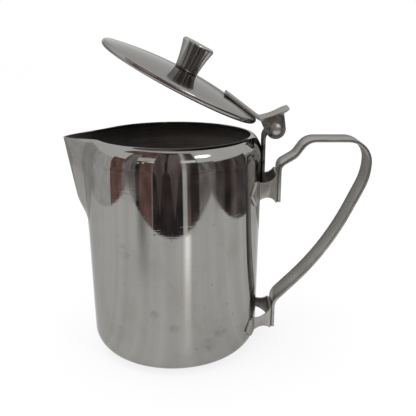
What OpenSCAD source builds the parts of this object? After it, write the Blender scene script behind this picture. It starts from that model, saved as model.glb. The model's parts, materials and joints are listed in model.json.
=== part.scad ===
// Hot milk jug with a hinged lid, in pressed stainless steel.
// The z axis is the body's axis, the spout points to -x and the handle to +x, and the base stands on z = 0.
// The lid is drawn standing open, as it stays on its stiff rivet.

/* [Body] */
// Outer diameter of the body under its shoulder
body_d = 90; // [82:0.5:110]
// Outer diameter of the body above its bottom corner
foot_d = 87.3; // [80:0.1:110]
// Height of the mouth above the base
body_h = 112.8; // [104:0.2:150]
// Thickness of the drawn sheet of the body
wall = 0.8; // [0.5:0.1:1.2]
// Radius of the rounded bottom corner
corner_r = 10.8; // [5:0.2:14]
// Height of the rounded shoulder below the mouth
shoulder_h = 10; // [7:0.5:12]
// Diameter of the mouth
mouth_d = 78.3; // [74:0.1:80]

/* [Spout] */
// Distance of the spout's tip from the body's axis
spout_reach = 55.4; // [50:0.2:64]
// Height of the drawn spout, from its root in the wall to the mouth
spout_h = 46.5; // [30:0.5:60]
// Drop of the spout's tip below the mouth
tip_drop = 1.6; // [0:0.1:3]
// Half angle that the spout takes of the mouth
spout_half_angle = 33; // [24:1:36]

/* [Brackets] */
// Height of the upper bracket's back plate
upper_plate_h = 15; // [11:0.5:20]
// Height of the lower bracket's back plate
lower_plate_h = 11; // [9:0.5:16]
// Drop of the upper bracket's middle below the mouth
upper_bracket_drop = 26.6; // [24:0.2:34]
// Height of the lower bracket's middle above the base
lower_bracket_z = 13.6; // [12:0.2:24]
// Distance of the bracket plates from the body's wall
standoff = 8.3; // [6:0.1:12]
// Thickness of the bracket sheet
bracket_t = 1; // [0.6:0.1:1.5]
// Reach of a bracket's pointed flange to the side, on the body
flange_reach = 23.5; // [21:0.5:26]
// Place of the fold between a bracket's arm and its flange, to the side
fold_y = 14; // [11.5:0.5:15.5]

/* [Handle] */
// Width of the handle strip
handle_w = 15; // [12:0.5:18]
// Thickness of the handle strip
handle_t = 1.6; // [1.2:0.1:3]
// Reach of the handle, from its upper leg to its outermost run
handle_reach = 45; // [38:0.5:60]
// Rise of the handle above the upper bracket
handle_rise = 16.6; // [14:0.2:20]
// Bend where the upper leg leaves the bracket
leg_bend_r = 4.5; // [3:0.5:5]
// Two bends of the swan neck
neck_bend_r = 8; // [4:0.5:9]
// Bend at the outer end of the top run
crest_bend_r = 11.5; // [8:0.5:12]
// Gentle bend below the crest
back_bend_r = 31; // [12:1:32]
// Long sweep of the falling run
sweep_bend_r = 140; // [50:5:160]
// Bend where the falling run meets the lower leg
tail_bend_r = 8; // [5:0.5:10]

/* [Hinge] */
// Distance of the rivet from the body's axis
hinge_x = 51; // [50:0.1:54]
// Height of the rivet above the mouth
hinge_rise = 3.3; // [2.8:0.1:5]
// Diameter of the rivet's shank
rivet_d = 3.2; // [2.4:0.1:4]
// Diameter of the rivet's domed heads
rivet_head_d = 6.2; // [5:0.1:8]
// Height of the rivet's domed heads
rivet_head_h = 1.3; // [0.8:0.1:2]
// Thickness of the hinge post's strip
post_t = 1.3; // [0.9:0.1:1.6]
// Length of the post below the rivet
post_len = 33; // [28:0.5:36]
// Angle at which the lid stands open
lid_open = 27.7; // [0:0.1:110]

/* [Lid] */
// Outer diameter of the lid
lid_d = 83.8; // [81:0.2:86]
// Rise of the lid's dome above its edge
dome_h = 4.4; // [3:0.1:7]
// Thickness of the lid's sheet
lid_t = 0.7; // [0.5:0.1:1]
// Radius of the lid's curled edge
bead_r = 1.5; // [1.2:0.1:2]
// Shift of the closed lid towards the spout
lid_shift = 0.9; // [0:0.1:1.5]
// Gap between the closed lid's edge and the mouth
lid_gap = 0.3; // [0.2:0.05:0.5]

/* [Lid strap] */
// Width of the strap that joins the lid to the rivet
strap_w = 15.2; // [13:0.2:18]
// Thickness of the strap
strap_t = 1.2; // [0.8:0.1:1.4]
// Length of the strap's tongue on the lid
tongue_len = 21.5; // [14:0.5:26]
// Length of the thumb lift
thumb_len = 15.3; // [12:0.1:18]
// Slope of the thumb lift where it leaves the lid, with the lid closed
thumb_slope = 42; // [38:1:48]
// Further upward curl of the thumb lift
thumb_curl = 13; // [0:1:20]
// Radius of the ears round the rivet
ear_r = 4.9; // [4:0.1:6]
// Corner radius of the thumb lift's end
thumb_corner_r = 4.5; // [2:0.5:7]

/* [Knob] */
// Diameter of the knob's top
knob_top_d = 16.2; // [13:0.2:20]
// Diameter of the knob's foot
knob_foot_d = 11.6; // [9:0.2:13]
// Height of the knob
knob_h = 14.2; // [11:0.2:20]
// Radius of the hollow in the knob's side
knob_side_r = 70; // [50:1:120]
// Radius of the knob's top edge
knob_edge_r = 1.4; // [0.5:0.1:2.5]
// Diameter of the knob screw
screw_d = 4; // [3:0.5:5]
// Depth of the screw's hole in the knob
screw_depth = 8; // [5:0.5:9]
// Diameter of the screw's head
screw_head_d = 7.5; // [6.5:0.5:9]
// Height of the screw's head
screw_head_h = 2; // [1.5:0.1:3]

/* [Hidden] */
$fn = 96;

// Clearances and overruns
seat_gap = 0.03;
pin_gap = 0.05;
ear_gap = 0.3;
over = 1;
// Turn of a bent strip between one line of its outline and the next
bend_step_angle = 6;
// Longest line that such an outline has in a bend
bend_step_len = 6;
// Turn of a ring sector between one line of its cutting outline and the next
sector_step_angle = 60;

// Body, worked out from the sizes above
body_r = body_d / 2;
foot_r = foot_d / 2;
mouth_r = mouth_d / 2;
wall_top_z = body_h - shoulder_h;
// The shoulder is a large arc and a small one that meet at this angle
shoulder_split_angle = 35;
split_k = tan(shoulder_split_angle / 2);
shoulder_small_r = (body_r - mouth_r - split_k * shoulder_h)
    / (cos(shoulder_split_angle) - split_k * (1 - sin(shoulder_split_angle)));
shoulder_large_r = (shoulder_h - (1 - sin(shoulder_split_angle)) * shoulder_small_r)
    / sin(shoulder_split_angle);
shoulder_c1 = [body_r - shoulder_large_r, wall_top_z];
shoulder_c2 = shoulder_c1
    + (shoulder_large_r - shoulder_small_r) * [cos(shoulder_split_angle), sin(shoulder_split_angle)];
function wall_r(z) = foot_r + (body_r - foot_r) * (z - corner_r) / (wall_top_z - corner_r);

function shoulder_arc_point(a, inset) =
    let (large = a <= shoulder_split_angle)
    (large ? shoulder_c1 : shoulder_c2)
        + ((large ? shoulder_large_r : shoulder_small_r) - inset) * [cos(a), sin(a)];

// Spout: rows follow the body's own section, and columns fan out round the tip
tip_z = body_h - tip_drop;
spout_z0 = body_h - spout_h;
spout_cols = 24;
spout_wall_rows = 8;
spout_arc_rows = 7;
spout_fan_share = 1.09;
// The columns crowd towards the tip by this power
spout_crowd_share = 1.5;
// Share of the keel's reach that grows evenly with height, and the share of height that the bulge takes
keel_even_share = 0.7;
keel_bulge_share = 0.34;
// Share of the spout's angle that is left at its root
spout_root_share = 0.35;
// Powers that round the beak's tip, at its root and at its edge, and that hollow its flanks
tip_round_shares = [2, 1.6];
flank_hollow_share = 2.9;
// The sheet is taken thicker along the beak's middle line, so that its slanted flanks keep the wall
beak_wall_share = 1.3;
// Depth at which the spout's margin lies inside the sheet of the body, where the two are joined
margin = 0.05;

// Brackets and handle seats
upper_z = body_h - upper_bracket_drop;
lower_z = lower_bracket_z;
upper_seat_x = wall_r(upper_z) + standoff;
lower_seat_x = wall_r(lower_z) + standoff;
plate_bend_share = 2;
plate_bend_r = plate_bend_share * bracket_t;
// A bracket's side view, as shares of its plate's height and of its arm's run
flange_h_share = 0.8;
waist_h_share = 0.5;
flange_corner_share = 0.82;

// Handle, as shares of its reach and of its rise above the upper bracket
leg_share = 0.232;
neck_shares = [0.177, 0.518];
top_start_share = 0.302;
// Falling run, as shares of the reach and of the height down to the lower bracket
back_share = 0.797;
sweep_shares = [0.591, 0.354];
tail_share = 0.042;
upper_top_z = upper_z + upper_plate_h / 2;
lower_top_z = lower_z + lower_plate_h / 2;
crest_z = upper_top_z + handle_rise;
upper_leg_x = upper_seat_x + seat_gap + handle_t / 2;
lower_leg_x = lower_seat_x + seat_gap + handle_t / 2;
outer_x = upper_leg_x + handle_reach;
fall = crest_z - lower_top_z;
handle_path = [
    [upper_leg_x, upper_z - upper_plate_h / 2],
    [upper_leg_x, upper_top_z + leg_share * handle_rise],
    [upper_leg_x + neck_shares[0] * handle_reach, upper_top_z + neck_shares[1] * handle_rise],
    [upper_leg_x + top_start_share * handle_reach, crest_z],
    [outer_x, crest_z],
    [outer_x, lower_top_z + back_share * fall],
    [upper_leg_x + sweep_shares[0] * handle_reach, lower_top_z + sweep_shares[1] * fall],
    [lower_leg_x, lower_top_z + tail_share * fall],
    [lower_leg_x, lower_z - lower_plate_h / 2]
];
// The bend below the crest is limited by the run that the crest leaves it
back_run = crest_z - handle_path[5][1] - crest_bend_r - seat_gap;
back_turn = abs(turn(handle_path[4], handle_path[5], handle_path[6]));
handle_bends = [
    0, leg_bend_r, neck_bend_r, neck_bend_r, crest_bend_r,
    min(back_bend_r, back_run / tan(back_turn / 2)), sweep_bend_r, tail_bend_r, 0
];

// Hinge
hinge = [hinge_x, body_h + hinge_rise];
rivet_r = rivet_d / 2;
post_w = strap_w - 2 * (strap_t + ear_gap);
knuckle_r = rivet_r + pin_gap + post_t / 2;
knuckle_wrap_angle = 270;
post_foot_z = hinge[1] - post_len;
// The post stands clear of the widest part of the wall beside it
post_x = max(body_r, wall_r(post_foot_z)) + seat_gap + post_t / 2;
post_foot = [post_x, post_foot_z];
post_bend_drop_share = 1.25;
post_bend = [post_x, hinge[1] - post_bend_drop_share * rivet_d];
post_bend_share = 4;
post_bend_r = post_bend_share * post_t;
post_lean = heading(post_bend, hinge) + asin(knuckle_r / norm(hinge - post_bend));
post_top = hinge + knuckle_r * [cos(post_lean + 90), sin(post_lean + 90)];

knuckle_steps = ceil(knuckle_wrap_angle / bend_step_angle);
post_places = concat(bent_places([post_foot, post_bend, post_top], [0, post_bend_r, 0]), [
    for (k = [1 : knuckle_steps])
        let (a = post_lean - knuckle_wrap_angle * k / knuckle_steps)
        [hinge + knuckle_r * [-sin(a), cos(a)], a]
]);

// Lid, in its closed place
lid_r = lid_d / 2;
lid_x = -lid_shift;
bead_z = body_h + lid_gap + bead_r;
dome_r = (lid_r * lid_r + dome_h * dome_h) / (2 * dome_h);
dome_angle = asin((lid_r - bead_r) / (dome_r - bead_r));
dome_c = bead_z - (dome_r - bead_r) * cos(dome_angle);
apex_z = dome_c + dome_r;
bead_tuck_angle = 100;

// Strap: the tongue is tangent to the dome, and the thumb lift rises from its outer end
thumb_bend_share = 2.5;
thumb_roll_share = 20;
thumb_bend_r = thumb_bend_share * strap_t;
thumb_curl_r = thumb_roll_share * strap_t;
tongue_end_x = lid_r + lid_x + thumb_bend_r / 2;
tongue_slope = -asin((tongue_end_x - tongue_len / 2 - lid_x) / dome_r);
tongue_mid = [lid_x, dome_c]
    + (dome_r + seat_gap + strap_t / 2) * [sin(-tongue_slope), cos(tongue_slope)];
tongue_end = tongue_mid + tongue_len / 2 * [cos(tongue_slope), sin(tongue_slope)];
tongue_start = tongue_mid - tongue_len / 2 * [cos(tongue_slope), sin(tongue_slope)];
// Share of the thumb lift before its curl, and the share of the rest that the ears reach
thumb_curl_share = 0.42;
ear_end_share = 0.62;
thumb_knee = tongue_end + thumb_curl_share * thumb_len * [cos(thumb_slope), sin(thumb_slope)];
thumb_tip_slope = thumb_slope + thumb_curl;
thumb_tip = thumb_knee
    + (1 - thumb_curl_share) * thumb_len * [cos(thumb_tip_slope), sin(thumb_tip_slope)];
ear_end = thumb_knee + ear_end_share * (thumb_tip - thumb_knee);

// Knob
knob_base_z = apex_z + seat_gap;
hollow_half_angle = 60;

// Heading of the line from p to q, and the turn from p-q to q-s
function heading(p, q) = atan2(q[1] - p[1], q[0] - p[0]);
function turn(p, q, s) =
    let (d = heading(q, s) - heading(p, q))
    d > 180 ? d - 360 : d < -180 ? d + 360 : d;

// Part of a flat ring between two angles
module ring_sector(inner_r, outer_r, from, to) {
    steps = ceil(abs(to - from) / sector_step_angle);
    intersection() {
        difference() {
            circle(outer_r);
            circle(inner_r);
        }
        polygon(concat([[0, 0]], [
            for (i = [0 : steps])
                let (a = from + (to - from) * i / steps)
                2 * outer_r * [cos(a), sin(a)]
        ]));
    }
}

// Places along the middle of a strip bent round the corners of a line, each with its heading
function bent_places(points, radii) = concat(
    [[points[0], heading(points[0], points[1])]],
    [
        for (i = [1 : len(points) - 2])
            let (
                a = turn(points[i - 1], points[i], points[i + 1]),
                d = heading(points[i - 1], points[i]),
                r = radii[i] * sign(a),
                start = points[i] - abs(radii[i] * tan(a / 2)) * [cos(d), sin(d)],
                centre = start + r * [-sin(d), cos(d)],
                arc_len = abs(radii[i] * a) * PI / 180,
                steps = max(1, ceil(abs(a) / bend_step_angle), ceil(arc_len / bend_step_len))
            )
            for (k = [0 : steps])
                let (h = d + a * k / steps)
                [centre - r * [-sin(h), cos(h)], h]
    ],
    [[points[len(points) - 1], heading(points[len(points) - 2], points[len(points) - 1])]]
);

// A strip of sheet seen on edge, through places with their headings
module strip(places, t) {
    polygon(concat(
        [for (p = places) p[0] + t / 2 * [-sin(p[1]), cos(p[1])]],
        [
            for (i = [1 : len(places)])
                let (p = places[len(places) - i])
                p[0] - t / 2 * [-sin(p[1]), cos(p[1])]
        ]
    ));
}

module bent_strip(points, radii, t) {
    strip(bent_places(points, radii), t);
}

// Stands a drawing of the x-z plane upright, with its thickness along y
module upright(w) {
    rotate([90, 0, 0]) translate([0, 0, -w / 2]) linear_extrude(w) children();
}

// Turns the closed lid about the rivet to the angle at which it stands
module lid_place() {
    translate([hinge[0], 0, hinge[1]]) rotate([0, lid_open, 0]) translate([-hinge[0], 0, -hinge[1]])
        children();
}

// Half section of the drawn body, set in by a distance from its outside
module body_section(inset) {
    polygon([
        [0, inset], [foot_r - corner_r, inset], [foot_r - inset, corner_r],
        [body_r - inset, wall_top_z], shoulder_arc_point(shoulder_split_angle, inset),
        [mouth_r, body_h - inset], [0, body_h - inset]
    ]);
    translate([foot_r - corner_r, corner_r]) ring_sector(0, corner_r - inset, -90, 0);
    translate(shoulder_c1) ring_sector(0, shoulder_large_r - inset, 0, shoulder_split_angle);
    translate(shoulder_c2) ring_sector(0, shoulder_small_r - inset, shoulder_split_angle, 90);
}

// The same section as rows of points, from below the spout's root to the mouth
function section_rows(inset) = concat(
    [
        for (i = [0 : spout_wall_rows - 1])
            let (z = spout_z0 - wall + (wall_top_z - spout_z0 + wall) * i / spout_wall_rows)
            [wall_r(z) - inset, z]
    ],
    [
        for (i = [0 : spout_arc_rows])
            shoulder_arc_point(90 * i / spout_arc_rows, inset) + [margin * i / spout_arc_rows, 0]
    ]
);

// The beak's middle line, as rows of points beside those of the section
function smooth(t) = t * t * (3 - 2 * t);
function keel_height(z) = max(0, (z - spout_z0) / (tip_z - spout_z0));
function keel_share(u) =
    keel_even_share * u + (1 - keel_even_share) * smooth(min(1, u / keel_bulge_share));
function keel_point(z, inset) =
    [wall_r(z) - inset + (spout_reach - wall_r(tip_z)) * keel_share(keel_height(z)), z];
function keel_rows(inset) = concat(
    [
        for (i = [0 : spout_wall_rows - 1])
            keel_point(spout_z0 - wall + (wall_top_z - spout_z0 + wall) * i / spout_wall_rows, inset)
    ],
    [for (i = [0 : spout_arc_rows]) keel_point(wall_top_z + (tip_z - wall_top_z) * i / spout_arc_rows, inset)]
);

// Share of the beak's reach at an angle from its middle, at a share of its height
function beak_share(a, u) =
    let (
        width = spout_half_angle * (spout_root_share + (1 - spout_root_share) * u),
        t = min(1, abs(a) / width),
        round_power = tip_round_shares[0] + (tip_round_shares[1] - tip_round_shares[0]) * u
    )
    pow(1 - pow(t, round_power), flank_hollow_share);
function column_angle(j) =
    let (s = 2 * j / spout_cols - 1)
    spout_half_angle * spout_fan_share * sign(s) * pow(abs(s), spout_crowd_share);

// One row of the spout, fanned out from one side of the beak to the other
function spout_row(c, k) = [
    for (j = [0 : spout_cols])
        let (a = column_angle(j), p = c + (k - c) * beak_share(a, keel_height(k[1])))
        [-p[0] * cos(a), p[0] * sin(a), p[1]]
];

// A closed solid through rows of points, each row a ring
module rows_solid(rows) {
    n = len(rows[0]);
    polyhedron(
        [for (row = rows) each row],
        concat(
            [
                for (j = [0 : n / 2 - 2])
                    each [[j, n - 1 - j, j + 1], [j + 1, n - 1 - j, n - 2 - j]]
            ],
            [
                for (i = [0 : len(rows) - 2])
                    for (j = [0 : n - 1])
                        let (p = i * n + j, q = i * n + (j + 1) % n)
                        each [[p, q, p + n], [q, q + n, p + n]]
            ],
            [
                for (j = [0 : n / 2 - 2])
                    let (last = (len(rows) - 1) * n)
                    each [
                        [last + j, last + j + 1, last + n - 1 - j],
                        [last + j + 1, last + n - 2 - j, last + n - 1 - j]
                    ]
            ]
        )
    );
}

// The sheet of the drawn spout, whose margins lie inside the sheet of the body
module spout_sheet() {
    section_out = section_rows(margin);
    section_in = section_rows(wall - margin);
    keel_out = keel_rows(0);
    keel_in = keel_rows(beak_wall_share * wall);
    rows_solid([
        for (i = [0 : len(section_out) - 1])
            let (front = spout_row(section_out[i], keel_out[i]), back = spout_row(section_in[i], keel_in[i]))
            concat(front, [for (j = [0 : spout_cols]) back[spout_cols - j]])
    ]);
}

module jug_body() {
    wedge = 2 * spout_reach * [[0, 0], [-cos(spout_half_angle), sin(spout_half_angle)],
        [-cos(spout_half_angle), -sin(spout_half_angle)]];
    color([0.72, 0.72, 0.72]) {
        difference() {
            rotate_extrude() body_section(0);
            rotate_extrude() body_section(wall);
            translate([0, 0, body_h / 2]) cylinder(h = body_h, r = mouth_r);
            translate([0, 0, spout_z0]) linear_extrude(body_h) polygon(wedge);
        }
        spout_sheet();
    }
}

// A saddle bracket: a back plate for the handle, two waisted arms, and flanges that hug the wall
module bracket(z, h, seat_x) {
    hug_r = wall_r(z) + seat_gap;
    fold_angle = asin(fold_y / hug_r);
    fold_x = hug_r * cos(fold_angle);
    plate = [seat_x - bracket_t / 2, handle_w / 2];
    arm_foot = (hug_r + bracket_t / 2) * [cos(fold_angle), sin(fold_angle)];
    flip = [[1, 0], [0, -1]];
    flange_z = flange_h_share * h / 2;
    corner_y = flange_corner_share * flange_reach;
    arm_y = fold_y - bracket_t;
    waist_dip = (flange_h_share - waist_h_share) * h / 2;
    waist_half = (seat_x - bracket_t - fold_x) / 2;
    waist_r = (waist_half * waist_half + waist_dip * waist_dip) / (2 * waist_dip);
    waist_z = waist_h_share * h / 2 + waist_r;
    waist_x = seat_x - bracket_t - sqrt(waist_r * waist_r - (waist_z - h / 2) * (waist_z - h / 2));
    bottom = z - h / 2 - over;
    top = z + h / 2 + over;
    difference() {
        intersection() {
            translate([0, 0, z - h / 2]) {
                linear_extrude(h) bent_strip(
                    [flip * arm_foot, flip * plate, plate, arm_foot],
                    [0, plate_bend_r, plate_bend_r, 0], bracket_t
                );
                for (side = [0, 1])
                    mirror([0, side, 0]) linear_extrude(h)
                        ring_sector(
                            hug_r, hug_r + bracket_t,
                            asin(arm_y / hug_r), asin((flange_reach + over) / hug_r)
                        );
            }
            translate([0, 0, z]) rotate([90, 0, 90]) linear_extrude(2 * seat_x) polygon([
                [-arm_y, -h], [arm_y, -h], [arm_y, -flange_z], [corner_y, -flange_z],
                [flange_reach, 0], [corner_y, flange_z], [arm_y, flange_z], [arm_y, h],
                [-arm_y, h], [-arm_y, flange_z], [-corner_y, flange_z], [-flange_reach, 0],
                [-corner_y, -flange_z], [-arm_y, -flange_z]
            ]);
        }
        for (side = [-1, 1])
            translate([waist_x, 0, z + side * waist_z]) rotate([90, 0, 0])
                cylinder(h = 2 * flange_reach, r = waist_r, center = true);
        translate([0, 0, bottom])
            cylinder(h = top - bottom, r1 = wall_r(bottom) + seat_gap, r2 = wall_r(top) + seat_gap);
    }
}

module upper_bracket() {
    color([0.62, 0.62, 0.64]) bracket(upper_z, upper_plate_h, upper_seat_x);
}

module lower_bracket() {
    color([0.62, 0.62, 0.64]) bracket(lower_z, lower_plate_h, lower_seat_x);
}

module handle() {
    color([0.68, 0.68, 0.7]) upright(handle_w) bent_strip(handle_path, handle_bends, handle_t);
}

// The post stands on the wall, and its head is rolled round the rivet
module hinge_post() {
    color([0.6, 0.6, 0.62]) difference() {
        upright(post_w) strip(post_places, post_t);
        translate([hinge[0], 0, hinge[1]]) rotate([90, 0, 0])
            cylinder(h = post_w + 2 * over, r = rivet_r + pin_gap, center = true);
    }
}

module lid_disc() {
    color([0.75, 0.75, 0.75]) lid_place() translate([lid_x, 0, 0]) difference() {
        rotate_extrude() {
            translate([0, dome_c]) ring_sector(dome_r - lid_t, dome_r, 90 - dome_angle, 90);
            translate([lid_r - bead_r, bead_z])
                ring_sector(bead_r - lid_t, bead_r, -bead_tuck_angle, 90 - dome_angle);
        }
        translate([0, 0, apex_z - bead_r]) cylinder(h = 2 * bead_r, r = screw_d / 2 + pin_gap);
    }
}

// Point where a line from p touches the circle of an ear, on the given side
function ear_touch(p, side) =
    let (a = heading(hinge, p) + side * acos(ear_r / norm(p - hinge)))
    hinge + ear_r * [cos(a), sin(a)];

module ear_outline() {
    polygon([
        tongue_end, ear_touch(tongue_end, 1), hinge, ear_touch(ear_end, -1), ear_end, thumb_knee
    ]);
    translate(hinge) circle(ear_r);
}

// The strap: a tongue on the lid, a raised thumb lift, and two ears folded down beside the post
module lid_strap() {
    color([0.66, 0.66, 0.68]) lid_place() difference() {
        union() {
            upright(strap_w)
                bent_strip(
                    [tongue_start, tongue_end, thumb_knee, thumb_tip],
                    [0, thumb_bend_r, thumb_curl_r, 0], strap_t
                );
            for (side = [-1, 1])
                translate([0, side * (strap_w - strap_t) / 2, 0]) upright(strap_t) ear_outline();
        }
        translate([hinge[0], 0, hinge[1]]) rotate([90, 0, 0])
            cylinder(h = strap_w + 2 * over, r = rivet_r + pin_gap, center = true);
        translate([thumb_tip[0], 0, thumb_tip[1]]) rotate([0, -thumb_tip_slope, 0])
            for (side = [0, 1])
                mirror([0, side, 0])
                    translate([-thumb_corner_r, strap_w / 2 - thumb_corner_r, -strap_t])
                        linear_extrude(2 * strap_t) difference() {
                            square(thumb_corner_r + over);
                            circle(thumb_corner_r);
                        }
    }
}

module hinge_rivet() {
    cap_r = (rivet_head_d * rivet_head_d / 4 + rivet_head_h * rivet_head_h) / (2 * rivet_head_h);
    half = strap_w / 2 + seat_gap;
    color([0.8, 0.8, 0.82]) translate([hinge[0], 0, hinge[1]]) {
        rotate([90, 0, 0]) cylinder(h = 2 * half, r = rivet_r, center = true);
        for (side = [90, -90])
            rotate([side, 0, 0]) intersection() {
                translate([0, 0, half + rivet_head_h - cap_r]) sphere(cap_r);
                translate([0, 0, half]) cylinder(h = rivet_head_h + over, r = rivet_head_d);
            }
    }
}

module lid_knob() {
    foot = [knob_foot_d / 2, 0];
    shoulder = [knob_top_d / 2, knob_h - knob_edge_r];
    half = norm(shoulder - foot) / 2;
    slope = heading(foot, shoulder);
    hollow = (foot + shoulder) / 2
        + sqrt(knob_side_r * knob_side_r - half * half) * [sin(slope), -cos(slope)];
    color([0.66, 0.65, 0.64]) lid_place() translate([lid_x, 0, knob_base_z]) difference() {
        rotate_extrude() {
            difference() {
                polygon([[0, 0], foot, shoulder, [0, shoulder[1]]]);
                translate(hollow) ring_sector(
                    0, knob_side_r, slope + 90 - hollow_half_angle, slope + 90 + hollow_half_angle
                );
            }
            translate([0, shoulder[1] - seat_gap])
                square([shoulder[0] - knob_edge_r, knob_edge_r + seat_gap]);
            translate([shoulder[0] - knob_edge_r, shoulder[1]]) ring_sector(0, knob_edge_r, 0, 90);
        }
        translate([0, 0, -over]) cylinder(h = screw_depth + over, r = screw_d / 2 + seat_gap);
    }
}

module knob_screw() {
    under_z = apex_z - lid_t - seat_gap;
    tip = knob_base_z + screw_depth - seat_gap;
    color([0.55, 0.55, 0.57]) lid_place() translate([lid_x, 0, 0]) {
        translate([0, 0, under_z - screw_head_h]) cylinder(h = screw_head_h, r = screw_head_d / 2);
        translate([0, 0, under_z - screw_head_h])
            cylinder(h = tip - under_z + screw_head_h, r = screw_d / 2);
    }
}

jug_body();
upper_bracket();
lower_bracket();
handle();
hinge_post();
lid_disc();
lid_strap();
hinge_rivet();
lid_knob();
knob_screw();
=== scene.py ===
"""Hot milk jug with a hinged lid: polished steel pieces and a plain pale studio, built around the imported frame."""

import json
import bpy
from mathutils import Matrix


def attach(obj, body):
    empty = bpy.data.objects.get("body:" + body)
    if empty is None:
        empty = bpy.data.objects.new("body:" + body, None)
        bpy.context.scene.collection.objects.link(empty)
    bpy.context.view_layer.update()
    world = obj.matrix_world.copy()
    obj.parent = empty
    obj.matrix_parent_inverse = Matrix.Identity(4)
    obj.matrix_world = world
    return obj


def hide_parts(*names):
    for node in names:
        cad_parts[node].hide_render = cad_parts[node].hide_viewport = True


bl_info = {
    "name": "Hot milk jug with lid",
    "version": (1, 0, 0),
    "blender": (4, 5, 0),
    "location": "View3D > Sidebar > Milk jug",
    "description": "Builds the polished steel pieces of a hot milk jug around its packed frame",
    "category": "Object",
}

from collections import namedtuple
from functools import reduce
from math import asin, atan2, cos, hypot, pi, radians, sin, sqrt, tan

import bmesh
import bpy
from bpy.props import FloatProperty, FloatVectorProperty, PointerProperty
from mathutils import Matrix, Vector

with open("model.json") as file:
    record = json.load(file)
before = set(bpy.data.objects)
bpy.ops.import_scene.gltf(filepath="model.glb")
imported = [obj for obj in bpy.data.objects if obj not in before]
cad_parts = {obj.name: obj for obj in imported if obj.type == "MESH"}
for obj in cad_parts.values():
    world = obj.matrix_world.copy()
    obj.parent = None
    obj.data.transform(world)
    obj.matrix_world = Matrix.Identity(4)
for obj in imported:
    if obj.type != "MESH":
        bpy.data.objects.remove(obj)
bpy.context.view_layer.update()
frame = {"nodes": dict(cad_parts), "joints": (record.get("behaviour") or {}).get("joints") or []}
nodes = frame["nodes"]

JUG = "jug"
LID = "lid"
# Points closer than this are joined
MERGE = 1e-6
HINGE_AT = Vector(frame["joints"][0]["pos_m"])


# Sizes and colours that a user would change


def length(name, words, default):
    return FloatProperty(name=name, description=words, default=default, subtype="DISTANCE", unit="LENGTH")


def colour(name, words, default):
    return FloatVectorProperty(name=name, description=words, default=default, size=3, min=0.0, max=2.0, subtype="COLOR")


def card(name, words, default):
    return colour(name, words + ", which only reflections show", default)


class JugSizes(bpy.types.PropertyGroup):
    """Sizes of the turned and drawn pieces"""

    body_d: length("Body", "Outer diameter of the body under its shoulder", 0.09)
    foot_d: length("Foot", "Outer diameter above the bottom corner", 0.0873)
    body_h: length("Height", "Height of the mouth above the base", 0.1128)
    mouth_d: length("Mouth", "Diameter of the mouth", 0.0783)
    corner_r: length("Bottom corner", "Radius of the rounded bottom corner", 0.0108)
    shoulder_h: length("Shoulder", "Height of the rounded shoulder", 0.01)
    wall: length("Wall", "Thickness of the body's sheet", 0.0008)
    spout_reach: length("Spout reach", "Distance of the spout's tip from the axis", 0.0554)
    spout_h: length("Spout height", "Height of the drawn spout", 0.0465)
    tip_drop: length("Tip drop", "Drop of the spout's tip below the mouth", 0.0016)
    spout_half: FloatProperty(
        name="Spout half angle",
        description="Half angle that the spout takes of the mouth",
        default=radians(33),
        subtype="ANGLE",
    )
    lid_d: length("Lid", "Outer diameter of the lid", 0.0838)
    dome_h: length("Dome", "Rise of the lid's dome above its edge", 0.0044)
    lid_t: length("Lid sheet", "Thickness of the lid's sheet", 0.0007)
    bead_r: length("Lid edge", "Radius of the lid's curled edge", 0.0015)
    lid_gap: length("Lid gap", "Gap between the closed lid's edge and the mouth", 0.0003)
    lid_shift: length("Lid shift", "Shift of the closed lid towards the spout", 0.0009)
    lid_open: FloatProperty(
        name="Lid open", description="Angle at which the lid stands open", default=radians(27.7), subtype="ANGLE"
    )
    knob_top_d: length("Knob top", "Diameter of the knob's top", 0.0162)
    knob_foot_d: length("Knob foot", "Diameter of the knob's foot", 0.0116)
    knob_h: length("Knob height", "Height of the knob", 0.0142)
    knob_side_r: length("Knob side", "Radius of the hollow in the knob's side", 0.07)
    knob_edge_r: length("Knob edge", "Radius of the knob's top edge", 0.0014)
    seat_gap: length("Seat gap", "Gap between pieces that touch", 0.00003)
    edge_ease: length("Edge ease", "Width of the eased edges of the strip pieces", 0.00022)


class JugColours(bpy.types.PropertyGroup):
    """Colours of the steel and of the studio"""

    steel: colour("Steel", "Mirror polished steel", (0.322, 0.316, 0.302))
    strap_steel: colour("Strap steel", "Satin steel of the handle", (0.49, 0.482, 0.46))
    sheet_steel: colour("Bracket steel", "Steel of the brackets and the hinge", (0.5, 0.488, 0.458))
    knob_steel: colour("Knob steel", "Turned and polished steel of the knob", (0.42, 0.413, 0.4))
    inner_steel: colour("Inner steel", "Dull dark steel inside the jug", (0.5, 0.49, 0.475))
    tarnish: colour("Tarnish", "Warm haze on worn steel", (0.235, 0.212, 0.185))
    # Besides specks and joint lines, this colour paints shade along the strap's ears and lower down the hinge post
    grime: colour("Grime", "Dark specks and the lines where pieces meet", (0.05, 0.043, 0.037))
    floor: colour("Floor", "Pale floor", (0.97, 0.97, 0.97))
    card_dark: card("Dark card", "Darkest card round the floor", (0.066, 0.053, 0.054))
    card_brown: card("Brown card", "Brown card", (0.26, 0.152, 0.135))
    card_drape: card("Drapes", "Drapes before the dark card", (0.21, 0.165, 0.165))
    card_shade: card("Shade", "Shade on the floor", (0.17, 0.156, 0.147))
    card_umber: card("Umber card", "Dark card on the right", (0.135, 0.12, 0.12))
    card_dusk: card("Dusky card", "Dull grey card", (0.31, 0.285, 0.28))
    card_mist: card("Misty card", "Grey card on the far left", (0.6, 0.59, 0.575))
    card_soft: card("Soft card", "Soft grey card on the left", (0.76, 0.76, 0.77))
    card_grey: card("Grey card", "Grey card", (0.45, 0.44, 0.42))
    card_pale: card("Pale card", "Pale card", (0.92, 0.9, 0.88))
    card_lit: card("Streak", "Streak of light", (1.0, 1.0, 1.0))
    card_light: card("Light card", "Brightest card", (1.6, 1.6, 1.65))


# Mesh helpers


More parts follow.
